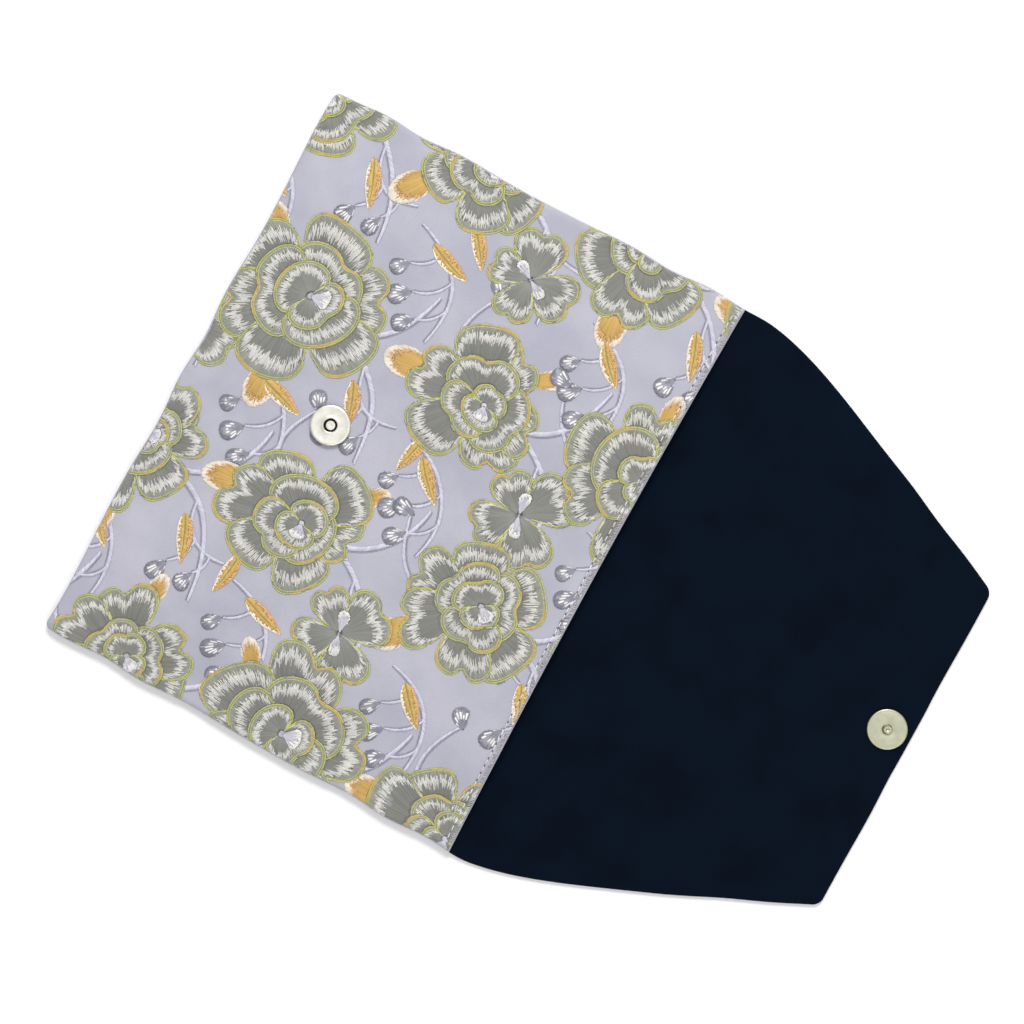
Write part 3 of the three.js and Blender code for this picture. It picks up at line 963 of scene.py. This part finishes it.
class Embroidery:
    """All the stitches on one stretch of cloth. Things added later lie on top."""

    def __init__(self, low, high, pitch, seed):
        self.field = Field(low, high)
        self.strands = Strands()
        self.low = low
        self.high = high
        self.pitch = pitch
        self.rng = np.random.default_rng(seed)
        self.owner = 0
        self.flowers = []

    def next_owner(self, patch):
        self.owner += 1
        self.field.lay(patch, self.owner)
        return self.owner

    def outline(self, fan, layer, owner):
        """Two thin lines of stem stitches along a fan's edge, with a stretch of orange beside them."""
        rope(self.strands, fan.outline(0.3), "outline_olive", 0.6, layer + 0.12, owner)
        rope(self.strands, fan.outline(1.3), "outline_olive", 0.5, layer + 0.1, owner)
        first = self.rng.integers(0, 45)
        stretch = fan.outline(0.8)[first:first + 16]
        rope(self.strands, stretch, "outline_orange", 0.55, layer + 0.14, owner)

    def plain_fan(self, fan, bands, layer):
        owner = self.next_owner(fan)
        fan.satin(self.strands, bands, self.pitch, layer, owner, self.rng)
        return owner

    def petal(self, fan, size, layer):
        """A grey petal, darker inside, with a white fringe over the change and an outline."""
        bands = (("petal_grey", 5.0 * size, 1.2 * size), ("petal_shadow", whole_depth, 0.0))
        owner = self.plain_fan(fan, bands, layer)
        fan.fringe(self.strands, "petal_white", 3.6 * size, 8.8 * size, 1.9 * size, self.pitch,
                   layer + 0.1, owner, self.rng)
        self.outline(fan, layer, owner)

    def peony(self, centre, radius, turn):
        for ring, petal in peony_petals(centre, radius, turn, self.rng):
            size = (1.0, 0.75, 0.55)[ring] * radius / peony_radius
            self.petal(petal, size, petal_layer * (1 + ring))
        heart = centre + direction(turn + 0.9) * 0.12 * radius
        self.heart(Fan(heart, turn - 0.4, 0.75, 0.6, radius * 0.22, roundness=6.0))

    def heart(self, fan):
        """White threads that spread from a flower's middle over its petals."""
        white = ("petal_white", 0.3 * fan.reach, 0.25 * fan.reach)
        self.plain_fan(fan, (white, ("petal_lilac", whole_depth, 0.0)), petal_layer * 4)

    def small_flower(self, centre, radius, turn):
        for angle, reach, spread in small_flower_petals:
            lobe = Fan(centre, turn + angle, spread, 0.8, radius * reach, notch=0.1, roundness=4.0)
            self.petal(lobe, 0.9, petal_layer * 2)
        for angle in (0.2, 3.3):
            self.heart(Fan(centre, turn + angle, 0.42, 0.4, radius * 0.42, roundness=3.0))

    def berry(self, tip, axis, length):
        """A grey drop with lighter threads, and a few white ones, over its middle."""
        fruit = Fan(tip, axis, 0.66, 0.5, length, roundness=2.4)
        owner = self.plain_fan(fruit, (("berry_grey", whole_depth, 0.0),), petal_layer * 2)
        fruit.fringe(self.strands, "berry_light", 1.4, 0.6 * length, 1.5, self.pitch * 1.5,
                     petal_layer * 3, owner, self.rng)
        fruit.fringe(self.strands, "petal_white", 2.4, 0.5 * length, 1.2, self.pitch * 4.2,
                     petal_layer * 4, owner, self.rng)

    def hanging_berries(self, gap, berries):
        """Berries on thin curved stalks that leave the stems in a gap."""
        for root, tip, length in berries:
            self.stem(gap + root, gap + tip, 0.14, 1.5)
            self.berry(gap + tip, math.atan2(tip[1] - root[1], tip[0] - root[0]), length)

    def fringed_leaf(self, base, axis, reach, spread):
        """A broad gold leaf with a white fringe, which shows from behind a flower."""
        fan = Fan(base, axis, spread, 1.0, reach, roundness=1.7, point=0.8)
        bands = (("leaf_cream", 3.0, 1.3), ("leaf_orange", 1.6, 1.0), ("leaf_gold", whole_depth, 0.0))
        self.plain_fan(fan, bands, petal_layer)

    def leaf(self, base, axis, length, width, curl=0.0):
        leaf = Leaf(base, axis, length, width, curl)
        owner = self.next_owner(leaf)
        leaf.stitch(self.strands, self.pitch * 1.1, petal_layer, owner, self.rng)

    def stem(self, start, end, bend, width=2.5):
        """A raised cord of slanting satin stitches along an arc from start to end."""
        chord = end - start
        sideways = np.array([-chord[1], chord[0]]) * bend
        t = np.linspace(0, 1, 60)[:, None]
        path = start + chord * t + sideways * 4 * t * (1 - t)
        points = points_along(path, np.arange(0, distances_along(path)[-1], self.pitch * 0.95))
        along = unit(np.gradient(points, axis=0))
        across = quarter_turn(along)
        lean = along * width * 0.45
        swell = np.sin(math.pi * np.linspace(0.04, 0.96, len(points))) ** 0.6
        reach = width * (0.25 + 0.75 * swell)[:, None] / 2
        thread = self.pitch * 1.2
        self.strands.add(points - across * reach - lean, points + across * reach + lean,
                         thread, thread, "stem_lilac", 0.0, 0.45, 0)
        rope(self.strands, points - across * (reach + 0.35), "stem_shadow", 0.6, 0.0, 0)

    def cluster(self, centre, number):
        """One repeat of the pattern: a peony with its leaves, and what fills the gaps beside it."""
        centre = np.array(centre) + self.rng.uniform(-4, 4, 2)
        turn = 0.5 + 0.8 * (number % 3)
        radius = peony_radius * (1.2 if number % 5 == 2 else self.rng.uniform(0.9, 1.04))
        first_gap = centre + np.array([0.4 * repeat_across, 0.5 * repeat_along])
        second_gap = centre + np.array([-0.4 * repeat_across, 0.5 * repeat_along])

        def beside(angle, share):
            """A place in a direction from the peony's middle, at a share of its radius."""
            return centre + direction(turn + angle) * radius * share

        self.stem(centre, first_gap + (16, 12), 0.24)
        self.stem(centre, second_gap + (4, 10), -0.26)
        self.stem(second_gap + (-20, -12), second_gap + (24, 14), 0.24, 2.0)
        self.stem(first_gap + (-24, -4), first_gap + (-6, 20), -0.3, 1.8)
        self.stem(centre, beside(2.9, 1.5), 0.3, 1.8)
        self.berry(beside(2.9, 1.42), turn + 3.3, 11.0)
        self.fringed_leaf(beside(4.1, 0.62), turn + 4.3, 26, 0.62)
        self.fringed_leaf(beside(1.9, 0.7), turn + 1.7, 20, 0.5)
        if number % 2 == 0:
            small_radius = small_flower_radius * self.rng.uniform(0.93, 1.05)
            self.flowers.append((self.small_flower, first_gap, small_radius, turn - 0.5))
            self.leaf(beside(5.3, 0.86), turn + 5.6, 20, 7.0, 0.1)
        else:
            self.leaf(first_gap + (-16, -6), 0.35, 22, 7.5, 0.12)
            self.hanging_berries(first_gap, first_gap_berries)
        self.leaf(second_gap + (-15, -4), 0.75 + 0.5 * (number % 2), 22, 7.5, -0.1)
        self.hanging_berries(second_gap, second_gap_berries)
        self.flowers.append((self.peony, centre, radius, turn))

    def fill(self, origin):
        """Half-drop repeats over the whole stretch. The flowers are laid last, over the rest."""
        margin = peony_radius * 2
        first = math.floor((self.low[0] - margin - origin[0]) / repeat_across)
        last = math.ceil((self.high[0] + margin - origin[0]) / repeat_across)
        lowest = math.floor((self.low[1] - margin - origin[1]) / repeat_along) - 1
        highest = math.ceil((self.high[1] + margin - origin[1]) / repeat_along)
        number = 0
        for column in range(first, last + 1):
            drop = repeat_along / 2 * (column % 2)
            for row in range(lowest, highest + 1):
                centre = (origin[0] + column * repeat_across, origin[1] + row * repeat_along + drop)
                self.cluster(centre, number)
                number += 1
        for lay_flower, *where in self.flowers:
            lay_flower(*where)
        return self

    def visible(self, inside):
        """The stitches cut back to the stretch of each that nothing covers and the cloth carries."""
        table = self.strands.table()
        start, end, owner = table[:, START], table[:, END], table[:, OWNER]
        samples = 33
        fractions = np.linspace(0, 1, samples)
        points = between(start[:, None], end[:, None], fractions[:, None])
        probe = between(start[:, None], end[:, None], np.clip(fractions, 0.04, 0.96)[:, None])
        on_cloth = inside(points[..., 0], points[..., 1])
        seen = (self.field.owner_at(probe[..., 0], probe[..., 1]) == owner[:, None]) & on_cloth
        number = np.arange(samples)
        first = np.argmax(seen, axis=1)
        ended = ~seen & (number > first[:, None])
        last = np.where(ended.any(axis=1), np.argmax(ended, axis=1) - 1, samples - 1)
        keep = seen.any(axis=1) & (last > first)
        # The ends run one sample on, under what covers them, so that no cloth shows at the border.
        stitch = np.arange(len(table))
        earlier, later = np.maximum(first - 1, 0), np.minimum(last + 1, samples - 1)
        first = np.where(on_cloth[stitch, earlier], earlier, first)
        last = np.where(on_cloth[stitch, later], later, last)
        low, high = fractions[first], fractions[last]
        kept = table.copy()
        kept[:, START] = between(start, end, low[:, None])
        kept[:, END] = between(start, end, high[:, None])
        kept[:, START_WIDTH] = between(table[:, START_WIDTH], table[:, END_WIDTH], low)
        kept[:, END_WIDTH] = between(table[:, START_WIDTH], table[:, END_WIDTH], high)
        length = np.linalg.norm(kept[:, END] - kept[:, START], axis=1)
        return kept[keep & (length > 0.45)]


thread_height = 0.26
tip_sink = 0.03  # a strand's tips and foot lie this far inside what is under them
foot_sink = 0.04
strand_stations = (0.0, 0.1, 0.5, 0.9, 1.0)
fold_cut = 1.0
fold_overlap = 0.35


def strand_points(table, face_height, side):
    """Each strand's points: a tip, a three-sided ring at each station between, and a tip."""
    start, end = table[:, START], table[:, END]
    across = quarter_turn(unit(end - start))
    layer, arch = table[:, LAYER], table[:, ARCH]
    points = []
    for station in strand_stations:
        middle = between(start, end, station)
        base = face_height(middle[:, 0], middle[:, 1])
        if station in (0.0, 1.0):
            points.append(np.column_stack([middle, base + side * (layer - tip_sink)]))
            continue
        raised = arch if station == 0.5 else 0.35 * arch
        width = between(table[:, START_WIDTH], table[:, END_WIDTH], station)[:, None] / 2
        foot = base + side * (layer + 0.6 * raised - foot_sink)
        crest = base + side * (layer + raised + thread_height * np.minimum(1, 0.35 + width[:, 0] * 2))
        points.append(np.column_stack([middle - across * width, foot]))
        points.append(np.column_stack([middle, crest]))
        points.append(np.column_stack([middle + across * width, foot]))
    return np.stack(points, axis=1)


def strand_faces(last):
    """The triangles of one strand, whose second tip is point number last."""
    faces = []
    for corner in range(3):
        following = (corner + 1) % 3
        faces.append((0, 1 + corner, 1 + following))
        faces.append((last, last - 3 + following, last - 3 + corner))
        for ring in range(1, last - 3, 3):
            faces.append((ring + corner, ring + 3 + corner, ring + 3 + following))
            faces.append((ring + corner, ring + 3 + following, ring + following))
    return np.array(faces)


def strand_mesh(name, table, face_height, side, rng):
    """Closed, tapered, three-sided strands on a face; side is 1 for an upper face, -1 for a lower."""
    points = strand_points(table, face_height, side)
    count, each = points.shape[:2]
    faces = strand_faces(each - 1)[:, ::side]
    all_faces = (faces + np.arange(count)[:, None, None] * each).reshape(-1, 3)
    tint = rng.integers(0, tints_each, count)
    shades, numbers = np.unique(table[:, DYE].astype(int) * tints_each + tint, return_inverse=True)
    piece = new_piece(name, hand_sewn(points.reshape(-1, 3)), all_faces, np.repeat(numbers, len(faces)))
    for shade in shades:
        piece.data.materials.append(thread_shades[shade])
    return piece


def thread_pieces(prefix, table, face_height, side):
    """One piece for each family of dyes."""
    pieces = []
    rng = np.random.default_rng(len(table))
    for family, dyes in families.items():
        chosen = np.isin(table[:, DYE], [dye_numbers[dye] for dye in dyes])
        if not chosen.any():
            continue
        pieces.append(strand_mesh(f"{prefix}_{family}_threads", table[chosen], face_height, side, rng))
    return pieces


# ---- The pieces ----

def dress(piece, material):
    piece.data.materials.clear()
    piece.data.materials.append(material)
    return piece


def front_half_width(y):
    return pouch_half_width(y) - corner_loss(y - bottom_y)


def front_cloth():
    x, y = grid_places(bottom_y, mouth_y, front_half_width, end_at=mouth_edge)
    piece = dress(panel("front_cloth", x, y, front_face, front_underside), lavender)
    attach(piece, "pouch")
    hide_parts("front_outer", "front_interlining", "left_seam_allowance", "right_seam_allowance")
    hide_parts("bottom_seam_allowance", "mouth_turned_edge")


def front_lining():
    x, y = grid_places(
        bottom_y + lining_inset, mouth_y - hem_inset, lambda y: pouch_half_width(y) - lining_inset,
        step=4.0, end_at=lambda x: mouth_edge(x) - hem_inset)
    sheet = panel("front_lining_sheet", x, y, pocket_side, pocket_ceiling)
    piece = dress(sheet, navy)
    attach(piece, "pouch")
    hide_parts("front_lining")


def bend_with_pouch(piece):
    """Bakes the piece's placement into its mesh; nothing ties it to the pouch or the spine."""
    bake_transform(piece)


def bend_with_flap(piece):
    """Bakes the piece's placement into its mesh; nothing ties it to the spine or the flap."""
    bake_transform(piece)


def back_and_flap():
    """Padded cloth, then its lining, over the back and over the flap. Each takes half the spine."""
    cloth = "cloth", outside_inner, outside_face, lavender, "embroidered_cloth"
    lining = "lining_sheet", lining_face, lining_back, navy, "navy_lining"
    back = "back", bottom_y, mid_spine_y, bend_with_pouch
    flap = "flap", mid_spine_y, tip_y, bend_with_flap
    stands_for = {
        "back_cloth": ("back_outer", "back_interlining", "spine_outer", "spine_interlining"),
        "flap_cloth": ("flap_outer", "flap_interlining", "flap_turned_edge"),
        "back_lining_sheet": ("back_lining", "spine_lining"),
        "flap_lining_sheet": ("flap_lining",),
    }
    for ply, upper, lower, material, slot in (cloth, lining):
        for half, low_y, high_y, bend in (back, flap):
            name = f"{half}_{ply}"
            x, y = grid_places(low_y, high_y, half_width)
            piece = dress(panel(name, x, y, upper, lower), material)
            bend(piece)
            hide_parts(*stands_for[name])


def topstitches(strands):
    """A row of stitches along the mouth, with short dark strands between them as painted shade in the
    needle holes.
    """
    length, width, hole_painted_shade = 2.7, 0.6, 0.9
    reach = mouth_half_width - 5
    x = np.arange(-reach, reach, topstitch_pitch)
    wander = 0.12 * np.sin(x / 9)

    def place(shift):
        return np.stack([x + shift, mouth_edge(x + shift) - topstitch_inset + wander], axis=-1)

    # The dark strands between the stitches are painted shade where the needle holes are.
    for first, last, dye in ((0.0, length, "petal_white"), (length, length + hole_painted_shade, "needle_hole_painted_shade")):
        strands.add(place(first), place(last), width, width, dye, over_embroidery, 0.1)


def oversewing(strands, rng):
    """Fine slanted stitches over the mouth's edge: a lilac thread, and a white one on most of it."""
    reach = mouth_half_width - 3
    x = np.arange(-reach, reach, oversewing_pitch)
    near = mouth_edge(x) - rng.uniform(0.4, 0.8, len(x))
    far = mouth_edge(x) - rng.uniform(1.9, 3.0, len(x))
    start = np.stack([x, near], axis=-1)
    end = np.stack([x + rng.uniform(0.3, 1.0, len(x)), far], axis=-1)
    white = rng.random(len(x)) < 0.7
    strands.add(start, end, 0.45, 0.3, "stem_lilac", over_embroidery, 0.05)
    strands.add(start[white], end[white], 0.45, 0.3, "petal_white", over_embroidery, 0.05)


def mouth_stitches():
    strands = Strands()
    rng = np.random.default_rng(3)
    topstitches(strands)
    oversewing(strands, rng)
    piece = strand_mesh("mouth_stitches", strands.table(), front_face, 1, rng)
    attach(piece, "pouch")
    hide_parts("mouth_topstitch")


def front_embroidery():
    """The front panel's pattern, kept inside its seams and its mouth's edge and off the snap."""
    low, high = (-mouth_half_width, bottom_y), (mouth_half_width, mouth_y)
    pattern = Embroidery(low, high, petal_pitch, 11).fill((-46.0, -62.0))

    def inside(x, y):
        clear_of_snap = np.hypot(x - socket_centre[0], y - socket_centre[1]) > snap_radius - 0.4
        return (seam_distance(x, y) > 0.5) & (mouth_edge(x) - y > 0.7) & clear_of_snap

    for piece in thread_pieces("front", pattern.visible(inside), front_face, 1):
        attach(piece, "pouch")


def cut_at_folds(table):
    """Splits the stitches over the spine into short, overlapping ones, which can follow its bend."""
    for level in np.arange(spine_fold_y - fold_cut / 2, flap_fold_y + fold_cut, fold_cut):
        crossing = (table[:, START_Y] - level) * (table[:, END_Y] - level) < 0
        before, after = table[crossing], table[crossing].copy()
        share = (level - before[:, START_Y]) / (before[:, END_Y] - before[:, START_Y])
        middle = between(before[:, START], before[:, END], share[:, None])
        width = between(before[:, START_WIDTH], before[:, END_WIDTH], share)
        before[:, END] = after[:, START] = middle
        before[:, END_WIDTH] = after[:, START_WIDTH] = width
        table = np.concatenate([table[~crossing], before, after])
    place = middle_y(table)
    on_spine = (place > spine_fold_y - fold_cut) & (place < flap_fold_y + fold_cut)
    lead = unit(table[:, END] - table[:, START]) * fold_overlap * on_spine[:, None]
    table[:, START] -= lead
    table[:, END] += lead
    return table


def outside_embroidery():
    """One pattern runs over the back, the spine and the flap, on the face underneath."""
    low, high = (-mouth_half_width - 1, bottom_y), (mouth_half_width + 1, tip_y)
    pattern = Embroidery(low, high, outside_pitch, 29).fill((-20.0, -40.0))
    table = cut_at_folds(pattern.visible(lambda x, y: edge_distance(x, y) > 0.7))
    with_flap = middle_y(table) > mid_spine_y
    for piece in thread_pieces("back", table[~with_flap], outside_face, -1):
        bend_with_pouch(piece)
    for piece in thread_pieces("flap", table[with_flap], outside_face, -1):
        bend_with_flap(piece)


def cap_profile(radius, height):
    """A dished cap with a rolled rim and a rolled lip round its hole."""
    rim, hole, lip = 0.7, 3.0, 0.35
    dish, mouth, inside = height - 0.13, height - 1.4, height - 0.8
    return [
        (radius - 0.5, 0.0), (radius, 0.0), *arc(radius - rim, height - rim, rim, 0, 90),
        (radius - 1.5, height - 0.05), (radius - 2.2, dish), (hole + 1.6, dish),
        (hole + 1.1, height - 0.08), *arc(hole + lip, height - 0.3, lip, 80, 180),
        (hole, mouth), (hole + 0.3, mouth), (hole + 0.3, inside), (radius - 0.6, inside),
    ]


def rivet_profile(radius, height):
    """A flat rivet head with a rounded edge and a slight dimple."""
    edge, middle = 0.15, 0.01
    return [
        (middle, 0.0), (radius, 0.0), *arc(radius - edge, height - edge, edge, 0, 90),
        (radius - 0.7, height), (0.6, height - 0.04), (middle, height - 0.06),
    ]


def stud_profile(radius, height):
    """A thin plate with a rounded rim, dished between the rim and the post."""
    rim, shell, post = 0.5, 0.5, 1.62
    dish, flat = height - 0.1, height - 0.04
    return [
        (radius - rim, 0.0), (radius, 0.0), *arc(radius - rim, height - rim, rim, 0, 90),
        (radius - 1.2, flat), (radius - 1.8, dish), (3.2, dish), (2.9, flat),
        (post, flat), (post, height - shell), (radius - 0.6, height - shell),
    ]


def snap():
    """The magnetic snap's visible shells; its hidden parts stay the CAD's."""
    shells = (
        ("snap_socket_cap", "socket_cap", cap_profile, nickel, "pouch"),
        ("snap_socket_rivet", "socket_rivet", rivet_profile, nickel, "pouch"),
        ("snap_stud_plate", "stud_plate", stud_profile, worn_nickel, "flap"),
    )
    for name, node, profile_of, metal, body in shells:
        piece = dress(lathe(name, node, profile_of), metal)
        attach(piece, body)
        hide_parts(node)


def dress_hidden_parts():
    """Gives the CAD nodes that stay their materials."""
    looks = {
        # The steel prong plate gets the black magnet material: painted shade at the bottom of the
        # socket's hole.
        "socket_magnet": magnet_black_and_painted_shade, "socket_prong_plate": magnet_black_and_painted_shade, "socket_washer": steel,
        "stud_prong_plate": steel, "stud_washer": steel, "stud_post": worn_nickel,
    }
    for node, material in looks.items():
        mesh = frame["nodes"][node].data
        mesh.materials.clear()
        mesh.materials.append(material)


# ---- Camera, floor and light ----

photo_turn = 118.65  # degrees from the picture's right to the model's +X, seen from above
view_height = 1.6
view_width = 0.4507
sensor_width = 36.0
view_centre = (-0.0083, -0.0228)
floor_half_width = 6 * MILLIMETRES
floor_level = -0.05


def camera():
    data = bpy.data.cameras.new("camera")
    data.sensor_width = sensor_width
    data.lens = sensor_width * view_height / view_width
    obj = bpy.data.objects.new("camera", data)
    obj.location = (*view_centre, view_height)
    obj.rotation_euler = (0, 0, math.radians(photo_turn))
    bpy.context.scene.collection.objects.link(obj)
    bpy.context.scene.camera = obj


def floor():
    corners = np.array([(-1, -1), (1, -1), (1, 1), (-1, 1)]) * floor_half_width
    points = np.column_stack([corners, np.full(4, floor_level)])
    obj = new_piece("floor", points, np.array([[0, 1, 2, 3]]), flat=True)
    nodes = Nodes("pale_floor")
    nodes.set(Base_Color=(0.93, 0.93, 0.93, 1), Roughness=0.9, Specular_IOR_Level=0.1)
    obj.data.materials.append(nodes.material)


def lamp(name, place, size, power):
    """A soft square lamp that shines at the pouch's middle."""
    data = bpy.data.lights.new(name, "AREA")
    data.size = size
    data.energy = power
    obj = bpy.data.objects.new(name, data)
    obj.location = place
    x, y, z = place
    obj.rotation_euler = (math.atan2(math.hypot(x, y), z), 0, math.atan2(-y, -x) - math.pi / 2)
    bpy.context.scene.collection.objects.link(obj)


def light():
    lamp("key", (-1.3, -0.5, 1.7), 0.7, 30)
    lamp("fill", (0.9, 1.1, 2.0), 1.6, 14)
    lamp("softbox", (0.0, 0.0, 2.4), 1.1, 2.2)
    world = bpy.data.worlds.new("studio")
    world.use_nodes = True
    background = world.node_tree.nodes["Background"]
    background.inputs["Color"].default_value = (1, 1, 1, 1)
    background.inputs["Strength"].default_value = 0.55
    bpy.context.scene.world = world
    bpy.context.scene.view_settings.view_transform = "Standard"


camera()
floor()
light()
front_relief.settle(plain_front, free_edge=True, slack=front_slack, pressure=front_pressure)
flap_relief.settle(plain_flap, free_edge=False, slack=flap_slack, pressure=flap_pressure)
thread_shades = thread_tints()
front_cloth()
front_lining()
back_and_flap()
mouth_stitches()
front_embroidery()
outside_embroidery()
snap()
dress_hidden_parts()
